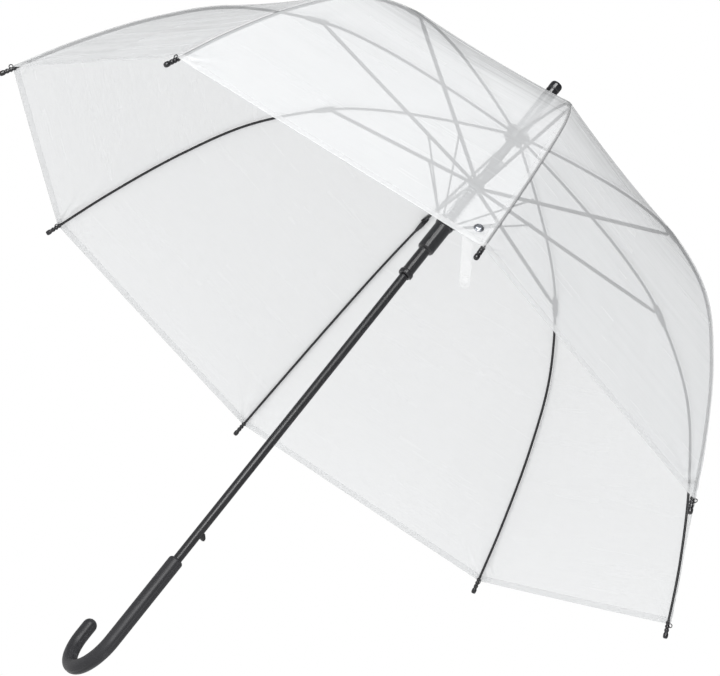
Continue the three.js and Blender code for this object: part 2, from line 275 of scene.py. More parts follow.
def grip_charcoal():
    look = Look("grip_charcoal", (0.034, 0.034, 0.037), 0.38, Specular_IOR_Level=0.28)
    flow = look.noise(34.0, 4.0, (1.0, 1.0, 0.35))
    grain = look.noise(2600.0, 2.0)
    worn = look.ramp(look.noise(120.0, 5.0), 0.60, 0.78, 0.0, 1.0)
    plain = look.mix(flow, (0.026, 0.026, 0.029), (0.042, 0.042, 0.046))
    look.feed("Base Color", look.mix(worn, plain, (0.050, 0.050, 0.054)))
    look.feed("Roughness", look.ramp(flow, 0.3, 0.7, 0.34, 0.44))
    look.bumps((grain, 0.04, 0.0001), (flow, 0.10, 0.0008))
    return look.material


def spring_steel():
    look = Look("spring_steel", (0.42, 0.43, 0.45), 0.28, Metallic=1.0)
    draw = look.noise(900.0, 2.0, (1.0, 1.0, 6.0))
    look.feed("Base Color", look.mix(draw, (0.34, 0.35, 0.37), (0.50, 0.51, 0.53)))
    look.feed("Roughness", look.ramp(draw, 0.3, 0.7, 0.22, 0.36))
    look.bumps((draw, 0.15, 0.0001))
    return look.material


def stud_metal():
    look = Look("stud_metal", (0.30, 0.31, 0.34), 0.26, Metallic=1.0)
    haze = look.noise(700.0, 3.0)
    look.feed("Base Color", look.mix(haze, (0.24, 0.25, 0.28), (0.36, 0.38, 0.41)))
    look.feed("Roughness", look.ramp(haze, 0.3, 0.7, 0.22, 0.34))
    look.bumps((haze, 0.06, 0.0001))
    return look.material


def clear_film(name, color, least, most, wrinkle, clear_at_ribs=False):
    """See-through plastic film: the map 'film' holds metres across the panel and metres down it."""
    look = Look(name, color, 0.2, Specular_IOR_Level=0.5)
    sheet = look.node("ShaderNodeUVMap", uv_map="film").outputs["UV"]
    haze = look.noise(7.0, 4.0)
    streaks = look.noise(1.0, 3.0, (5.0, 70.0, 1.0), sheet)
    creases = look.noise(1.0, 5.0, (16.0, 190.0, 1.0), sheet)
    paler = tuple(min(1.0, c * 1.05) for c in color)
    look.feed("Base Color", look.mix(haze, color, paler))
    alpha = look.ramp(haze, 0.3, 0.7, least, most)
    if clear_at_ribs:
        # film pressed against a rib shows it more plainly; the map's first number is the rib's own there
        across = look.node("ShaderNodeSeparateXYZ", {"Vector": sheet}).outputs["X"]
        rib = look.reckon("ROUND", across)
        away = look.reckon("ABSOLUTE", look.reckon("SUBTRACT", across, rib))
        alpha = look.reckon("MULTIPLY", alpha, look.ramp(away, 0.0013, 0.0024, 0.55, 1.0))
    look.feed("Alpha", alpha)
    look.feed("Roughness", look.ramp(streaks, 0.3, 0.7, 0.14, 0.30))
    look.bumps((streaks, 0.25 * wrinkle, 0.004), (creases, 0.15 * wrinkle, 0.001),
               (look.noise(9.0, 2.0), 0.3 * wrinkle, 0.010))
    look.material.use_transparent_shadow = True
    return look.material


MATERIALS = {
    "coated_steel": coated_steel(), "gloss_black": gloss_black(), "grip_charcoal": grip_charcoal(),
    "spring_steel": spring_steel(), "stud_metal": stud_metal(),
    "clear_film": clear_film("clear_film", (0.832, 0.845, 0.856), 0.59, 0.64, 1.0, clear_at_ribs=True),
    "film_weld": clear_film("film_weld", (0.90, 0.905, 0.91), 0.24, 0.34, 0.5),
    "film_strap": clear_film("film_strap", (0.84, 0.845, 0.85), 0.10, 0.16, 0.5),
    "film_hem": clear_film("film_hem", (0.92, 0.925, 0.93), 0.32, 0.42, 0.5),
}
for row in frame["record"]["subparts"]:
    node = frame["nodes"][row["node"]]
    node.data.materials.clear()
    node.data.materials.append(MATERIALS[row["material_slot"]])

# ---------------------------------------------------------------- mesh helpers


def piece(name, verts, faces, look, body, uv=None, normals=None, sharp=SHARP_DEG):
    """Makes a visible piece with its material and slot. It rides on a body unless none is given."""
    mesh = bpy.data.meshes.new(name)
    mesh.from_pydata([tuple(map(float, v)) for v in verts], [], [tuple(map(int, f)) for f in faces])
    mesh.validate()
    mesh.shade_smooth()
    if normals is None:
        mesh.set_sharp_from_angle(angle=math.radians(sharp))
    else:
        mesh.normals_split_custom_set_from_vertices([tuple(map(float, n)) for n in normals])
    if uv is not None:
        layer = mesh.uv_layers.new(name="film")
        for loop in mesh.loops:
            layer.data[loop.index].uv = uv[loop.vertex_index]
    mesh.materials.append(MATERIALS[look])
    made = bpy.data.objects.new(name, mesh)
    bpy.context.scene.collection.objects.link(made)
    if body:
        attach(made, body)
    return made


def joined(*parts):
    """One list of points and one of faces from several."""
    verts, faces, start = [], [], 0
    for v, f in parts:
        verts.append(np.asarray(v, float).reshape(-1, 3))
        faces += [[i + start for i in face] for face in f]
        start += len(verts[-1])
    return np.vstack(verts), faces


def loft(rings, cap_start=True, cap_end=True, round_it=False):
    """Skins equal closed rings of points, in order."""
    n, size = len(rings), len(rings[0])
    faces = []
    for i in range(n if round_it else n - 1):
        for j in range(size):
            a, b = i * size + j, i * size + (j + 1) % size
            c, d = ((i + 1) % n) * size + (j + 1) % size, ((i + 1) % n) * size + j
            faces.append([a, b, c, d])
    if not round_it:
        if cap_start:
            faces.append(list(range(size))[::-1])
        if cap_end:
            faces.append([(n - 1) * size + j for j in range(size)])
    return np.vstack(rings), faces


def filleted(profile, radius, steps=4):
    """A closed outline with its corners rounded. Radius is one number, or one for each corner."""
    p = np.asarray(profile, float)
    radii = [radius] * len(p) if np.isscalar(radius) else radius
    out = []
    for i, corner in enumerate(p):
        before, after = p[i - 1] - corner, p[(i + 1) % len(p)] - corner
        lb, la = np.linalg.norm(before), np.linalg.norm(after)
        trim = min(radii[i], 0.45 * lb, 0.45 * la)
        if trim <= 1e-9:
            out.append(corner)
            continue
        start, end = corner + before / lb * trim, corner + after / la * trim
        for t in np.linspace(0, 1, steps + 1):
            out.append((1 - t) ** 2 * start + 2 * t * (1 - t) * corner + t ** 2 * end)
    return np.array(out)


def lathe(profile, segments=64):
    """A closed outline of radius and height, off the axis, turned about Z."""
    p = np.asarray(profile, float)
    rings = []
    for i in range(segments):
        a = 2 * math.pi * i / segments
        rings.append(np.stack([p[:, 0] * math.cos(a), p[:, 0] * math.sin(a), p[:, 1]], 1))
    return loft(rings, round_it=True)


def spun(profile, segments=32):
    """An open line of radius and height that starts and ends on the axis, turned about Z."""
    p = np.asarray(profile, float)
    verts, faces = [[0, 0, p[0][1]]], []
    for r, z in p[1:-1]:
        for j in range(segments):
            a = 2 * math.pi * j / segments
            verts.append([r * math.cos(a), r * math.sin(a), z])
    verts.append([0, 0, p[-1][1]])
    last = len(verts) - 1
    rows = len(p) - 2
    for j in range(segments):
        k = (j + 1) % segments
        faces.append([0, 1 + k, 1 + j])
        for i in range(rows - 1):
            faces.append([1 + i * segments + j, 1 + i * segments + k,
                          1 + (i + 1) * segments + k, 1 + (i + 1) * segments + j])
        faces.append([1 + (rows - 1) * segments + j, 1 + (rows - 1) * segments + k, last])
    return np.array(verts, float), faces


def frames_along(path, up=(0, 0, 1)):
    """A tangent and two crosswise directions at each point of a path, turning as little as it can."""
    p = np.asarray(path, float)
    t = np.gradient(p, axis=0)
    t /= np.linalg.norm(t, axis=1, keepdims=True)
    side = np.cross(t[0], up)
    if np.linalg.norm(side) < 1e-6:
        side = np.cross(t[0], (1, 0, 0))
    sides = []
    for tangent in t:
        side = side - tangent * side.dot(tangent)
        side /= np.linalg.norm(side)
        sides.append(side.copy())
    sides = np.array(sides)
    return t, sides, np.cross(sides, t)


def swept(path, radius, sides=12):
    """A round bar along a path. Radius is one number, or one for each point."""
    p = np.asarray(path, float)
    radii = np.full(len(p), radius) if np.isscalar(radius) else np.asarray(radius)
    _, u, v = frames_along(p)
    a = np.linspace(0, 2 * math.pi, sides, endpoint=False)
    rings = [p[i] + radii[i] * (np.outer(np.cos(a), u[i]) + np.outer(np.sin(a), v[i]))
             for i in range(len(p))]
    return loft(rings[::-1])


def turned_to(direction, verts, at):
    """Verts built round +Z, turned to a direction and moved to a place."""
    turn = Vector(direction).to_track_quat("Z", "Y").to_matrix()
    return np.asarray(verts) @ np.array(turn, float).T + np.asarray(at, float)


def notched_disc(outer, bore, low, high, near, side, half, bevel=0.0004):
    """A beveled disc with a bore and one slot for each rib, open outward."""
    edge = []
    turns = sorted(RIB_TURN.values())
    reach = [math.asin((side + s * (half + bevel)) / outer) for s in (-1, 1)]
    for i, turn in enumerate(turns):
        c, s = math.cos(turn), math.sin(turn)
        for r, y in ((math.cos(reach[0]) * outer, math.sin(reach[0]) * outer), (near, side - half),
                     (near, side + half), (math.cos(reach[1]) * outer, math.sin(reach[1]) * outer)):
            edge.append((r * c - y * s, r * s + y * c))
        start, end = turn + reach[1], turns[(i + 1) % len(turns)] + reach[0]
        end += 2 * math.pi if end < start else 0
        for a in np.linspace(start, end, 8)[1:-1]:
            edge.append((outer * math.cos(a), outer * math.sin(a)))
    curve = bpy.data.curves.new("outline", "CURVE")
    curve.dimensions, curve.fill_mode = "2D", "BOTH"
    hole = [(bore * math.cos(a), bore * math.sin(a))
            for a in np.linspace(0, 2 * math.pi, 48, endpoint=False)]
    for points, inset in ((edge, -bevel), (hole, bevel)):
        spline = curve.splines.new("POLY")
        spline.points.add(len(points) - 1)
        for point, (x, y) in zip(spline.points, points):
            shrink = 1 + inset / math.hypot(x, y)
            point.co = (x * shrink, y * shrink, 0, 1)
        spline.use_cyclic_u = True
    curve.extrude, curve.bevel_depth, curve.bevel_resolution = (high - low) / 2 - bevel, bevel, 2
    temporary = bpy.data.objects.new("outline", curve)
    bpy.context.scene.collection.objects.link(temporary)
    graph = bpy.context.evaluated_depsgraph_get()
    mesh = bpy.data.meshes.new_from_object(temporary.evaluated_get(graph))
    verts = np.array([v.co for v in mesh.vertices]) + (0, 0, (low + high) / 2)
    faces = [list(f.vertices) for f in mesh.polygons]
    bpy.data.objects.remove(temporary)
    bpy.data.curves.remove(curve)
    bpy.data.meshes.remove(mesh)
    return verts, faces


def cut(made, tool):
    """Takes a closed solid away from a piece."""
    mesh = bpy.data.meshes.new("tool")
    mesh.from_pydata([tuple(v) for v in tool[0]], [], tool[1])
    cutter = bpy.data.objects.new("tool", mesh)
    bpy.context.scene.collection.objects.link(cutter)
    modifier = made.modifiers.new("cut", "BOOLEAN")
    modifier.operation, modifier.object, modifier.solver = "DIFFERENCE", cutter, "EXACT"
    graph = bpy.context.evaluated_depsgraph_get()
    result = bpy.data.meshes.new_from_object(made.evaluated_get(graph))
    made.modifiers.clear()
    made.data = result
    result.shade_smooth()
    result.set_sharp_from_angle(angle=math.radians(SHARP_DEG))
    bpy.data.objects.remove(cutter)


def block(low, high, bevel=0.0):
    """A box, its upright edges rounded if a bevel is given."""
    x0, y0, z0 = low
    x1, y1, z1 = high
    outline = np.array([(x0, y0), (x1, y0), (x1, y1), (x0, y1)])
    if bevel:
        outline = filleted(outline, bevel, 3)
    return loft([np.column_stack([outline, np.full(len(outline), z)]) for z in (z0, z1)])


# ---------------------------------------------------------------- canopy film


def film_surface(side, s, t):
    """The film in rib coordinates: s along the rib, t from the rib (0) to midway to the next one (1)."""
    s, t = np.broadcast_arrays(np.asarray(s, float), np.asarray(t, float))
    tangent, point = rib_tangent(s), rib_point(s)
    share = (s - TOP_S) / (HEM_S - TOP_S)
    bow = SAG * np.clip(np.sin(math.pi * np.clip(share, 0, 1)), 0, 1) * (1 - (1 - t) ** 2)
    lift = FILM_LIFT - bow
    r = point[..., 0] - tangent[..., 1] * lift
    z = point[..., 1] + tangent[..., 0] * lift + HEM_DIP * np.clip(share, 0, 1.2) ** 4 * t * (2 - t)
    c, h = math.cos(HALF_PANEL), math.sin(HALF_PANEL)
    x = r * (1 - t) + r * c * c * t
    y = side * r * h * c * t
    across, down = np.abs(y) / c, HEM_S - s
    # small folds fan out from the rib's tip, where the film is pulled
    far = np.hypot(across, down)
    fold = 0.0011 * np.exp(-(far / 0.075) ** 2) * np.sin(11 * np.arctan2(across, np.maximum(down, 1e-6)))
    fold = fold * np.clip(across / 0.01, 0, 1) * (1 - t) ** 2
    return np.stack([x - fold * tangent[..., 1], y, z + fold * tangent[..., 0]], -1)


def film_normal(side, s, t, step=2e-4):
    """The film's outward normal."""
    t_low, t_high = np.clip(t - 0.004, 0, 1), np.clip(t + 0.004, 0, 1)
    along = film_surface(side, s + step, t) - film_surface(side, s - step, t)
    over = film_surface(side, s, t_high) - film_surface(side, s, t_low)
    n = np.cross(over, along) * side
    return -n / np.linalg.norm(n, axis=-1, keepdims=True)


def grid_faces(rows, cols, flip):
    """Faces of a grid of points, wound the other way round if flip is set."""
    faces = []
    for i in range(rows - 1):
        for j in range(cols - 1):
            a = i * cols + j
            face = [a, a + 1, a + cols + 1, a + cols]
            faces.append(face[::-1] if flip else face)
    return faces


def body_of(k, part):
    return f"rib_{k}" if part == "inner" else f"rib_outer_{k}"


def area_of(grid):
    a, b = grid[1:, :-1] - grid[:-1, :-1], grid[:-1, 1:] - grid[:-1, :-1]
    return float(np.linalg.norm(np.cross(a, b), axis=-1).sum())


def shut_fold(made):
    """Gives a piece its own copy of its mesh."""
    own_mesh(made)


def film_wing(k, side, part):
    """The film on one side of a rib's half. Also gives its flat size and area."""
    ends, rows = ((TOP_S, JOINT_S), 34) if part == "inner" else ((JOINT_S, HEM_S), 52)
    cols = 22
    s, t = np.meshgrid(np.linspace(*ends, rows), np.linspace(0, 1, cols), indexing="ij")
    grid = film_surface(side, s, t)
    normals = film_normal(side, s, t)
    across = np.abs(grid[..., 1]) / math.cos(HALF_PANEL)
    uv = np.stack([k + side * across, HEM_S - s], -1).reshape(-1, 2)
    hand = "left" if side > 0 else "right"
    made = piece(f"film_{k}_{part}_{hand}", in_rib(k, grid.reshape(-1, 3)),
                 grid_faces(rows, cols, side > 0), "clear_film", body_of(k, part), uv,
                 in_rib(k, normals.reshape(-1, 3)))
    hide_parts(f"canopy_panel_{k}")
    shut_fold(made)
    return made, (float(across.max()), float(ends[1] - ends[0])), area_of(grid)


def on_film(k, side, s, t, lift):
    """Points lifted off the film along its normal."""
    return film_surface(side, s, t) + film_normal(side, s, t) * np.asarray(lift)[..., None]


def weld_strip(k, part):
    """The overlap of two panels, a narrow second layer beside the rib."""
    ends, rows = ((TOP_S + 0.012, JOINT_S), 40) if part == "inner" else ((JOINT_S, HEM_S), 60)
    s = np.linspace(*ends, rows)
    reach = rib_point(s)[:, 0] * math.sin(HALF_PANEL)
    widths = np.minimum(SEAM_WIDTH, 0.8 * reach)
    columns = np.array([0.0, 0.2, 0.4, 0.6, 0.8, 0.93, 1.0])
    lifts = np.where(columns < 1, SEAM_LIFT, THIN_EDGE)
    t = np.outer(widths / reach, columns)
    s2 = np.repeat(s[:, None], len(columns), 1)
    grid = on_film(k, -1, s2, t, np.broadcast_to(lifts, t.shape))
    uv = np.stack([k - t * reach[:, None], HEM_S - s2], -1).reshape(-1, 2)
    return piece(f"weld_{k}_{part}", in_rib(k, grid.reshape(-1, 3)),
                 grid_faces(rows, len(columns), False), "film_weld", body_of(k, part), uv)


def hem_band(k, side):
    """The hem: the film's edge folded over and welded, round one rib's half panel."""
    cols = 30
    t = np.linspace(0, 1, cols)
    # distance past the film's edge and lift, down the outer face; the inner face mirrors it
    outer = [(-HEM_WIDTH, THIN_EDGE), (-HEM_WIDTH + 0.0004, 0.00045), (-HEM_WIDTH * 0.6, HEM_HALF_THICK),
             (-HEM_WIDTH * 0.25, HEM_HALF_THICK), (-0.0002, HEM_HALF_THICK), (0.0003, 0.0002)]
    section = outer + [(a, -b) for a, b in outer[::-1]]
    rows = len(section)
    s = np.array([[HEM_S + a for _ in t] for a, _ in section])
    lift = np.array([[b for _ in t] for _, b in section])
    tt = np.repeat(t[None], rows, 0)
    grid = on_film(k, side, s, tt, lift)
    uv = np.stack([k + side * tt * 0.18, HEM_S - s + 0.3], -1).reshape(-1, 2)
    hand = "left" if side > 0 else "right"
    made = piece(f"hem_{k}_{hand}", in_rib(k, grid.reshape(-1, 3)),
                 grid_faces(rows, cols, side > 0), "film_hem", f"rib_outer_{k}", uv)
    shut_fold(made)
    return made


def canopy():
    for k in RIBS:
        welds = {part: weld_strip(k, part) for part in ("inner", "outer")}
        for side in (1, -1):
            hem = hem_band(k, side)
            for part in ("inner", "outer"):
                made, flat, area = film_wing(k, side, part)


# ---------------------------------------------------------------- ribs, stretchers and links


def rib_wires(k):
    """A rib's two halves. The outer one ends inside its tip cap."""
    for part, start, end, steps in (("inner", 0.0003, JOINT_S - JOINT_GAP, 60),
                                    ("outer", JOINT_S + JOINT_GAP, RIB_LENGTH - 0.004, 80)):
        p = rib_point(np.linspace(start, end, steps))
        bar = swept(in_rib(k, np.column_stack([p[:, 0], np.zeros(steps), p[:, 1]])), RIB_R)
        made = piece(f"rib_{part}_wire_{k}", *bar, "coated_steel", body_of(k, part))
        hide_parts(f"rib_{part}_{k}")


def pin(at, half, radius):
    """A rivet across a rib's plane, with rounded heads, in rib coordinates."""
    x, y, z = at
    head = radius * 0.45
    profile = [(0, -half - head), (radius * 0.9, -half - head), (radius * 1.35, -half - head * 0.4),
               (radius * 1.35, -half), (radius, -half), (radius, half), (radius * 1.35, half),
               (radius * 1.35, half + head * 0.4), (radius * 0.9, half + head), (0, half + head)]
    verts, faces = spun(profile, 16)
    placed = np.column_stack([verts[:, 0] + x, verts[:, 2] + y, verts[:, 1] + z])
    return placed, [f[::-1] for f in faces]


def rib_clip(k):
    """The dark forked clip at a rib's joint: two cheeks round the pin, then a tapered sleeve."""
    def section(d, half_side, half_up, side=0.0, corner=0.0004):
        point, t = rib_point(JOINT_S + d), rib_tangent(JOINT_S + d)
        outline = filleted([(-half_side, -half_up), (half_side, -half_up), (half_side, half_up),
                            (-half_side, half_up)], corner, 3)
        return np.array([[point[0] - t[1] * v, side + u, point[1] + t[0] * v] for u, v in outline])

    sleeve = loft([section(d, w, h, 0, c) for d, w, h, c in (
        (0.0042, 0.0019, 0.0014, 0.0004), (0.0050, 0.0026, 0.0021, 0.0006),
        (0.0070, 0.0029, 0.0023, 0.0008), (0.0120, 0.0026, 0.0023, 0.0010),
        (0.0170, 0.0021, 0.0021, 0.0010), (0.0205, 0.0019, 0.0019, 0.0010),
        (0.0210, 0.0017, 0.0017, 0.0009))])
    cheek_line = ((-0.0046, 0.0007), (-0.0040, 0.0017), (-0.0022, 0.0021), (0.0060, 0.0021))
    cheeks = [loft([section(d, 0.00045, h, side, 0.0003) for d, h in cheek_line])
              for side in (-0.00205, 0.00205)]
    middle = rib_point(JOINT_S)
    verts, faces = joined(sleeve, *cheeks, pin((middle[0], 0, middle[1]), 0.0025, 0.0008))
    verts = in_rib(k, verts)
    piece(f"rib_clip_{k}", verts, faces, "gloss_black", f"rib_outer_{k}")


def tip_cap(k):
    """The ridged cap on a rib's end, with its small eye."""
    end, along = rib_point(RIB_LENGTH), rib_tangent(RIB_LENGTH)
    line = filleted([(0.0, 0.0), (0.0019, 0.0), (0.0028, -0.0016), (0.0028, -0.0050), (0.0021, -0.0064),
                     (0.0021, -0.0074), (0.0025, -0.0082), (0.0026, -0.0102), (0.0019, -0.0108),
                     (0.0019, -0.0118), (0.0026, -0.0124), (0.0026, -0.0142), (0.0019, -0.0148),
                     (0.0019, -0.0158), (0.0025, -0.0164), (0.0025, -0.0182), (0.0022, -0.0190),
                     (0.0, -0.0190)],
                    [0, .0006, .0010, .0010, .0006, .0004, .0005] + [.0005, .0003] * 4
                    + [.0004, .0003, 0], 4)
    body = spun(line[::-1], 28)
    at = in_rib(k, [[end[0], 0, end[1]]])[0]
    direction = in_rib(k, [[along[0], 0, along[1]]])[0]
    out = in_rib(k, [[-along[1], 0, along[0]]])[0]
    cap = turned_to(direction, body[0], at), body[1]
    a = np.linspace(0, 2 * math.pi, 25)[:-1]
    centre = at - direction * 0.0150 + out * 0.0030
    path = [centre + 0.0021 * (math.cos(x) * direction + math.sin(x) * out) for x in a]
    across = np.cross(direction, out)
    rings = []
    for x, p in zip(a, path):
        radial = math.cos(x) * direction + math.sin(x) * out
        rings.append([p + 0.00055 * (math.cos(y) * radial + math.sin(y) * across)
                      for y in np.linspace(0, 2 * math.pi, 9)[:-1]])
    verts, faces = joined(cap, loft(rings, round_it=True))
    made = piece(f"tip_cap_{k}", verts, faces, "gloss_black", f"rib_outer_{k}", sharp=40.0)
    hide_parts(f"rib_tip_{k}")


STRETCHER_FROM = np.array([0.0074, 0.5902])
STRETCHER_TO = np.array([0.2412, 0.6163])
LINK_FROM = np.array([0.0095, 0.5330])
STRETCHER_SIDE = 0.0034
LINK_JOINT_RADIUS = 0.0744   # where a link meets its stretcher
LINK_SHARE = (LINK_JOINT_RADIUS - STRETCHER_FROM[0]) / (STRETCHER_TO[0] - STRETCHER_FROM[0])


def channel(k):
    """A stretcher: a strip folded to a channel, with its ends pressed flat round the pins."""
    run = STRETCHER_TO - STRETCHER_FROM
    length = np.linalg.norm(run)
    run = run / length
    up = np.array([-run[1], run[0]])

    def section(d, half, deep, wall=0.0006):
        outline = [(-half, -deep), (-half + wall, -deep), (-half + wall, deep - wall),
                   (half - wall, deep - wall), (half - wall, -deep), (half, -deep), (half, deep),
                   (-half, deep)]
        outline = filleted(outline, [.0002] * 6 + [.0006] * 2, 3)
        base = STRETCHER_FROM + run * d
        return np.array([[base[0] + up[0] * v, STRETCHER_SIDE + u, base[1] + up[1] * v]
                         for u, v in outline])

    ends = 0.006
    stations = [(0.0, 0.0013, 0.0011), (0.0008, 0.0013, 0.0014), (ends, 0.0013, 0.0014),
                (2 * ends, 0.0017, 0.0015), (length / 2, 0.0017, 0.0015),
                (length - 2 * ends, 0.0017, 0.0015), (length - ends, 0.0009, 0.0014),
                (length + 0.0012, 0.0009, 0.0014), (length + 0.0018, 0.0009, 0.0011)]
    body = loft([section(*station) for station in stations])
    eye = STRETCHER_FROM + run * LINK_SHARE * length
    at_link = pin((eye[0], STRETCHER_SIDE - 0.0012, eye[1]), 0.0034, 0.0008)
    at_hub = pin((STRETCHER_FROM[0], STRETCHER_SIDE, STRETCHER_FROM[1]), 0.0016, 0.0006)
    at_rib = pin((STRETCHER_TO[0], STRETCHER_SIDE, STRETCHER_TO[1]), 0.0009, 0.0008)
    verts, faces = joined(body, at_link, at_hub, at_rib)
    made = piece(f"stretcher_channel_{k}", in_rib(k, verts), faces, "coated_steel", f"stretcher_{k}")
    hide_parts(f"stretcher_{k}")


def link_wire(k):
    """A link: a flat-ended wire from the runner's flange to the stretcher."""
    run = STRETCHER_TO - STRETCHER_FROM
    end = STRETCHER_FROM + run * LINK_SHARE
    way = end - LINK_FROM
    length = np.linalg.norm(way)
    way = way / length
    up = np.array([-way[1], way[0]])
    a = np.linspace(0, 2 * math.pi, 16, endpoint=False)
    stations = [(-0.0012, 0.0004, 0.0008), (-0.0004, 0.0006, 0.0013), (0.0030, 0.0006, 0.0014),
                (0.0055, 0.0010, 0.0010), (length / 2, 0.0010, 0.0010),
                (length - 0.0055, 0.0010, 0.0010), (length - 0.0030, 0.0006, 0.0015),
                (length + 0.0006, 0.0006, 0.0014), (length + 0.0014, 0.0004, 0.0008)]
    rings = []
    for d, across, deep in stations:
        base = LINK_FROM + way * d
        rings.append([[base[0] + up[0] * deep * math.sin(x), across * math.cos(x),
                       base[1] + up[1] * deep * math.sin(x)] for x in a])
    verts, faces = loft(rings)
    made = piece(f"link_wire_{k}", in_rib(k, verts), faces, "coated_steel", f"link_{k}")
    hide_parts(f"link_{k}")


# ---------------------------------------------------------------- shaft, runner, hubs and top


SHAFT_WALL = 0.0006
SLIDE_BORE = 0.0053      # the bore of what slides on the shaft
FIXED_BORE = 0.00535     # the bore of what is fixed on it


def shaft_tube():
    """The shaft, with the release button's slot cut through its wall."""
    low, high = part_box("shaft")
    r, inner = high.x, high.x - SHAFT_WALL
    bottom, top = low.z, high.z
    profile = filleted([(inner, bottom), (r, bottom), (r, top), (inner, top)], 0.0003, 3)
    made = piece("shaft_tube", *lathe(profile, 56), "coated_steel", "root")
    b_low, b_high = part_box("release_button")
    beside, above = 0.00035, 0.0008
    cut(made, block((b_low.x - beside, -r - 0.002, b_low.z - above),
                    (b_high.x + beside, -0.002, b_high.z + above)))
    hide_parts("shaft")


def release_button():
    """The button: a rounded nub with a sloping top and three fine grip lines."""
    low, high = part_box("release_button")
    x, back, front, z0, z1 = high.x, high.y, low.y, low.z, high.z
    outline = filleted([(back, z0), (front, z0), (front, z0 + 0.0035), (-0.006, z1), (back, z1)],
                       [.0003, .0009, .0012, .0009, .0003], 4)
    rings = []
    centre = outline.mean(0)
    for at, shrink in ((-x, 0.86), (-x + 0.0002, 0.94), (-x + 0.0006, 1.0),
                       (x - 0.0006, 1.0), (x - 0.0002, 0.94), (x, 0.86)):
        ring = centre + (outline - centre) * shrink
        rings.append(np.column_stack([np.full(len(ring), at), ring]))
    ribs = [block((-x * 0.8, front - 0.00025, z), (x * 0.8, front + 0.0004, z + 0.00035))
            for z in (z0 + 0.0009, z0 + 0.0017, z0 + 0.0025)]
    made = piece("button_nub", *joined(loft(rings), *ribs), "gloss_black", "release_button")
    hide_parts("release_button")


def runner_piece():
    """The runner: a collar, a neck, a thick sleeve and the notched flange that the links turn in."""
    low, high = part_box("runner")
    bore, r = SLIDE_BORE, high.x
    foot, top = low.z, high.z
    neck_z, sleeve_z, under = 0.461, 0.493, 0.529
    profile = filleted([
        (bore, foot), (0.0074, foot), (0.0082, foot + 0.0010), (0.0082, neck_z - 0.0012),
        (0.0076, neck_z - 0.0002), (0.0069, neck_z), (0.0067, neck_z + 0.0008),
        (0.0066, sleeve_z - 0.0012), (0.0072, sleeve_z - 0.0002), (0.0086, sleeve_z),
        (0.0096, sleeve_z + 0.0018), (0.0096, under - 0.0030), (0.0102, under - 0.0018),
        (0.0102, under + 0.0002), (bore, under + 0.0002)], 0.0006, 4)
    flange = notched_disc(r, bore, under, top, 0.00815, 0.0, 0.00135)
    made = piece("runner_sleeve", *joined(lathe(profile, 72), flange), "gloss_black", "runner")
    # the notch goes over the release button's slope when the umbrella is shut
    cut(made, block((-0.0026, -0.010, foot - 0.001), (0.0026, -0.004, foot + 0.0036)))
    # the moulding's parting line down both sides of the sleeve
    seams = [block((side * 0.0096 - 0.00012, -0.00025, sleeve_z + 0.0022),
                   (side * 0.0096 + 0.00012, 0.00025, under - 0.0032)) for side in (-1, 1)]
    piece("runner_seams", *joined(*seams), "gloss_black", "runner")
    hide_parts("runner")


def opening_spring():
    """The coil spring, built at one fixed length, though the real one shortens as the runner and the
    upper hub come together.
    """
    low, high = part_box("opening_spring")
    wire, coil, turns = 0.0006, 0.007, 11
    z0, z1 = low.z + wire, high.z - wire
    t = np.linspace(0, 1, turns * 40 + 1)
    # the first and last turn lie nearly flat, as a ground spring's do
    height = z0 + (z1 - z0) * np.interp(t, [0, 1 / turns, 1 - 1 / turns, 1], [0, 0.03, 0.97, 1])
    a = 2 * math.pi * turns * t
    path = np.column_stack([coil * np.cos(a), coil * np.sin(a), height])
    made = piece("opening_coil", *swept(path, wire, 10), "spring_steel", None)
    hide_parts("opening_spring")
    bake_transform(made)


def hubs():
    """The upper hub, which slides with the stretchers, and the crown, which holds the ribs."""
    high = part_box("upper_hub")[1]
    disc = notched_disc(high.x, SLIDE_BORE, 0.5862, 0.5942, 0.00575, STRETCHER_SIDE, 0.0018)
    neck = lathe(filleted([(SLIDE_BORE, 0.5935), (0.0062, 0.5935), (0.0062, high.z),
                           (SLIDE_BORE, high.z)], 0.0003, 3), 48)
    made = piece("upper_hub_ring", *joined(disc, neck), "gloss_black", "upper_hub")
    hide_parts("upper_hub")
    low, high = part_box("crown")
    disc = notched_disc(high.x, FIXED_BORE, low.z, high.z, 0.00615, 0.0, 0.00185, 0.0005)
    made = piece("crown_ring", *disc, "gloss_black", "root")
    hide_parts("crown")


def top_pieces():
    """The washer over the film's centre and the ferrule on top."""
    low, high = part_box("canopy_washer")
    profile = filleted([(FIXED_BORE, low.z), (high.x, low.z), (high.x, low.z + 0.0009),
                        (0.0118, low.z + 0.0022), (0.0096, high.z), (FIXED_BORE, high.z)],
                       [.0002, .0004, .0004, .0012, .0006, .0003], 4)
    made = piece("washer_cap", *lathe(profile, 64), "gloss_black", "root")
    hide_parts("canopy_washer")
    low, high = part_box("ferrule")
    base, top = low.z, high.z
    line = [(0.0, base + 0.0185), (FIXED_BORE, base + 0.0185), (FIXED_BORE, base), (0.0068, base),
            (0.0072, base + 0.0004), (0.0072, base + 0.0060), (0.0067, base + 0.0066),
            (0.0067, base + 0.0074), (0.0071, base + 0.0080), (0.0070, top - 0.0105),
            (0.0066, top - 0.0098), (0.0066, top - 0.0090), (0.0070, top - 0.0083),
            (0.0070, top - 0.0018), (0.0060, top), (0.0, top)]
    radii = [0, 0, .0002, .0002] + [.0003] * 4 + [.0004] + [.0003] * 4 + [.0012, .0004, 0]
    made = piece("ferrule_cap", *spun(filleted(line, radii, 4), 56), "gloss_black", "root")
    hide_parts("ferrule")


# ---------------------------------------------------------------- handle


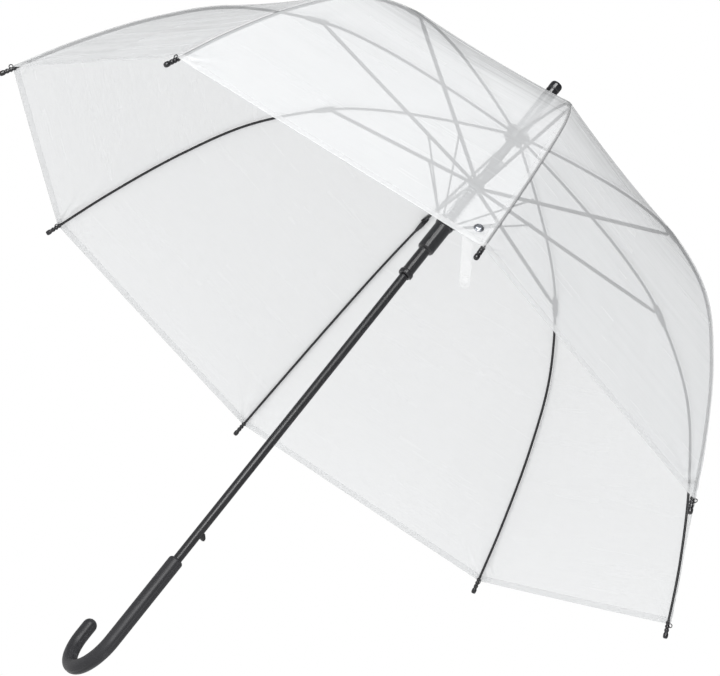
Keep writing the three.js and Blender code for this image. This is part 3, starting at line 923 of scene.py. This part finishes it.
def crook():
    """The handle: a straight grip, a half circle and a short rounded end, grooved along both sides."""
    low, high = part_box("handle")
    grip, bend = 0.0081, 0.038
    top = high.z
    turn_z = low.z + grip + bend
    rise = 0.012
    straight = np.linspace(0, top - turn_z, 40)
    path = [(0, 0, top - d) for d in straight[:-1]]
    for a in np.linspace(0, math.pi, 90):
        path.append((bend * (1 - math.cos(a)), 0, turn_z - bend * math.sin(a)))
    path += [(2 * bend, 0, turn_z + d) for d in np.linspace(0, rise, 8)[1:]]
    cap = np.linspace(0, math.pi / 2, 12)[1:-1]
    end_r = 0.0077
    path += [(2 * bend, 0, turn_z + rise + end_r * math.sin(a)) for a in cap]
    path = np.array(path)
    # the top edge is chamfered and the last stretch is a little thinner
    distance = np.concatenate([[0], np.cumsum(np.linalg.norm(np.diff(path, axis=0), axis=1))])
    radius = np.interp(distance, [0, 0.0022, 0.12, distance[-1]], [grip - 0.0016, grip, grip, end_r])
    radius[-len(cap):] = end_r * np.cos(cap)
    extra = np.array([(0, 0, top - 0.0006), (0, 0, top - 0.0014), (0, 0, top - 0.0022)])
    path = np.vstack([path[:1], extra, path[1:]])
    radius = np.concatenate([[grip - 0.0016, grip - 0.0009, grip - 0.0003, grip], radius[1:]])
    t = np.gradient(path, axis=0)
    t /= np.linalg.norm(t, axis=1, keepdims=True)
    side = np.array([0.0, 1.0, 0.0])
    sides, groove_deep, groove_wide = 72, 0.0006, 0.12
    a = np.linspace(0, 2 * math.pi, sides, endpoint=False)
    groove = sum(np.exp(-(np.angle(np.exp(1j * (a - seam))) / groove_wide) ** 2)
                 for seam in (-math.pi / 2, math.pi / 2))
    rings = []
    for point, tangent, r in zip(path, t, radius):
        across = np.cross(tangent, side)
        grooved = r - groove_deep * groove * min(1, r / grip)
        rings.append(point + np.outer(grooved * np.cos(a), side) + np.outer(grooved * np.sin(a), across))
    verts, faces = loft(rings, cap_start=False, cap_end=False)
    faces = [f[::-1] for f in faces]
    tip = len(verts)
    verts = np.vstack([verts, [2 * bend, 0, turn_z + rise + end_r]])
    last = (len(rings) - 1) * sides
    faces += [[last + j, tip, last + (j + 1) % sides][::-1] for j in range(sides)]
    # the mouth: a short inner wall round the shaft
    start = len(verts)
    for z in (top, top - 0.012):
        verts = np.vstack([verts, [[-SLIDE_BORE * math.sin(x), SLIDE_BORE * math.cos(x), z] for x in a]])
    for j in range(sides):
        k = (j + 1) % sides
        faces.append([j, k, start + k, start + j])
        faces.append([start + j, start + k, start + sides + k, start + sides + j])
    faces.append([start + sides + j for j in range(sides)])
    made = piece("crook_handle", verts, faces, "grip_charcoal", "root", sharp=50.0)
    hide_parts("handle")


# ---------------------------------------------------------------- strap and stud


def main_axes(node):
    """A CAD node's middle, its directions from longest to shortest, and half its size along each."""
    co = np.array([v.co for v in frame["nodes"][node].data.vertices])
    co = np.unique(np.round(co, 7), axis=0)
    middle = (co.min(0) + co.max(0)) / 2
    _, _, axes = np.linalg.svd(co - co.mean(0), full_matrices=False)
    half = [np.abs((co - middle) @ axis).max() for axis in axes]
    return middle, axes, half


STRAP_WIDTH = 0.010
STRAP_HALF_THICK = 0.00022


def closing_strap():
    """The closing strap, hung from the hem, with a rounded free end and the press stud's socket."""
    middle, axes, half = main_axes("closing_strap")
    long_way = axes[0] if axes[0][2] < 0 else -axes[0]
    wide, out = axes[1], np.cross(axes[1], long_way)
    out = out if out.dot(middle - np.array([0, 0, middle[2]])) > 0 else -out
    rows, cols = 40, 9
    verts, uv = [], []
    outline = [(x, y) for y in (-1, 1) for x in np.linspace(-1, 1, cols)[::y]]
    rings = []
    for v in np.linspace(-1, 1, rows):
        rounded = math.sqrt(max(0.0, 1 - max(0.0, (v - 0.86) / 0.14) ** 2)) if v > 0.86 else 1.0
        curl = 0.0016 * math.sin(2.2 * v + 0.4) - 0.0010
        base = middle + long_way * half[0] * v + out * curl
        rings.append([base + wide * STRAP_WIDTH / 2 * x * max(rounded, 0.25) + out * STRAP_HALF_THICK * y
                      for x, y in outline])
        uv += [(x * half[1], v * half[0]) for x, _ in outline]
    verts, faces = loft(rings)
    made = piece("closing_strap_film", verts, faces, "film_strap", "rib_outer_4", uv)
    # the socket that the stud snaps into, near the strap's free end
    at = middle + long_way * half[0] * 0.72 + out * 0.0003
    profile = [(0, 0), (0.0036, 0), (0.0040, 0.0004), (0.0036, 0.0010), (0.0024, 0.0012),
               (0.0020, 0.0007), (0, 0.0006)]
    verts, faces = spun(filleted(profile, [0, .0003, .0003, .0004, .0004, .0003, 0], 3), 24)
    socket = piece("strap_socket", turned_to(out, verts, at), faces, "film_strap", "rib_outer_4")
    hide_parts("closing_strap")
    for part in (made, socket):
        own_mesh(part)


def press_stud():
    """The metal stud on the film beside rib 4's tip."""
    middle, axes, half = main_axes("press_stud")
    out = axes[2] if axes[2][2] > 0 else -axes[2]
    base = middle - out * half[2]
    line = [(0, 0), (0.0040, 0), (0.0048, 0.0005), (0.0048, 0.0012), (0.0041, 0.0015), (0.0040, 0.0018),
            (0.0043, 0.0021), (0.0036, 0.0027), (0.0022, 0.0031), (0, 0.0032)]
    body = spun(filleted(line, [0, .0003, .0003, .0003, .0002, .0002, .0005, .0008, .0008, 0], 4), 40)
    made = piece("press_stud_cap", turned_to(out, body[0], base), body[1], "stud_metal", "rib_outer_4")
    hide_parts("press_stud")
    shut_fold(made)


# ---------------------------------------------------------------- build the object

for k in RIBS:
    rib_wires(k)
    rib_clip(k)
    tip_cap(k)
    channel(k)
    link_wire(k)
canopy()
shaft_tube()
release_button()
runner_piece()
opening_spring()
hubs()
top_pieces()
crook()
closing_strap()
press_stud()

# ---------------------------------------------------------------- stage and light


FLOOR_HALF = 58
FLOOR_Z = -9.0           # far enough down to leave the view from below clear


def floor():
    """A wide, faintly glowing sheet of paper, which lights the object from below."""
    mesh = bpy.data.meshes.new("floor")
    corners = [(x * FLOOR_HALF, y * FLOOR_HALF, FLOOR_Z) for x, y in ((-1, -1), (1, -1), (1, 1), (-1, 1))]
    mesh.from_pydata(corners, [], [(0, 1, 2, 3)])
    look = Look("floor_paper", (0.86, 0.86, 0.86), 0.9, Emission_Color=(1, 1, 1, 1),
                Emission_Strength=0.38)
    look.feed("Roughness", look.ramp(look.noise(30.0), 0.3, 0.7, 0.85, 0.95))
    mesh.materials.append(look.material)
    made = bpy.data.objects.new("floor", mesh)
    bpy.context.scene.collection.objects.link(made)


def softbox(name, at, target, size, watts, gloss_only=False):
    """An area light turned to a target. With gloss_only it shows only in reflections."""
    data = bpy.data.lights.new(name, "AREA")
    data.shape, data.size, data.size_y, data.energy = "RECTANGLE", size[0], size[1], watts
    made = bpy.data.objects.new(name, data)
    made.location = at
    made.rotation_euler = (Vector(target) - Vector(at)).to_track_quat("-Z", "Y").to_euler()
    made.visible_camera = False
    made.visible_diffuse = not gloss_only
    bpy.context.scene.collection.objects.link(made)


def world():
    """White behind the object, and light that comes mostly from the sides and below, less from above."""
    made = bpy.data.worlds.new("studio")
    bpy.context.scene.world = made
    made.use_nodes = True
    nodes, links = made.node_tree.nodes, made.node_tree.links
    seen = nodes["Background"]
    seen.inputs["Color"].default_value = (1, 1, 1, 1)
    seen.inputs["Strength"].default_value = 1.0
    lit = nodes.new("ShaderNodeBackground")
    place = nodes.new("ShaderNodeTexCoord")
    split = nodes.new("ShaderNodeSeparateXYZ")
    ramp = nodes.new("ShaderNodeMapRange")
    for key, value in (("From Min", 0.0), ("From Max", 0.6), ("To Min", 2.1), ("To Max", 0.42)):
        ramp.inputs[key].default_value = value
    mix = nodes.new("ShaderNodeMixShader")
    links.new(place.outputs["Generated"], split.inputs[0])
    links.new(split.outputs["Z"], ramp.inputs["Value"])
    rays = nodes.new("ShaderNodeLightPath")
    gloss = nodes.new("ShaderNodeMapRange")
    gloss.inputs["To Min"].default_value, gloss.inputs["To Max"].default_value = 1.0, 0.4
    links.new(rays.outputs["Is Glossy Ray"], gloss.inputs["Value"])
    level = nodes.new("ShaderNodeMath")
    level.operation = "MULTIPLY"
    links.new(ramp.outputs["Result"], level.inputs[0])
    links.new(gloss.outputs["Result"], level.inputs[1])
    links.new(level.outputs[0], lit.inputs["Strength"])
    links.new(rays.outputs["Is Camera Ray"], mix.inputs[0])
    links.new(lit.outputs[0], mix.inputs[1])
    links.new(seen.outputs[0], mix.inputs[2])
    links.new(mix.outputs[0], nodes["World Output"].inputs["Surface"])


floor()
world()
softbox("overhead", (0.20, 0.85, 2.6), (-0.1, 0.1, 0.5), (2.2, 1.5), 5)
softbox("key", (-1.5, 2.4, 1.5), (0, 0, 0.45), (0.7, 1.5), 27)
softbox("sheen", (-2.35, 1.58, 1.3), (0, 0, 0.3), (1.2, 2.4), 80, gloss_only=True)
bpy.context.scene.view_settings.view_transform = "Standard"
bpy.context.scene.view_settings.look = "None"
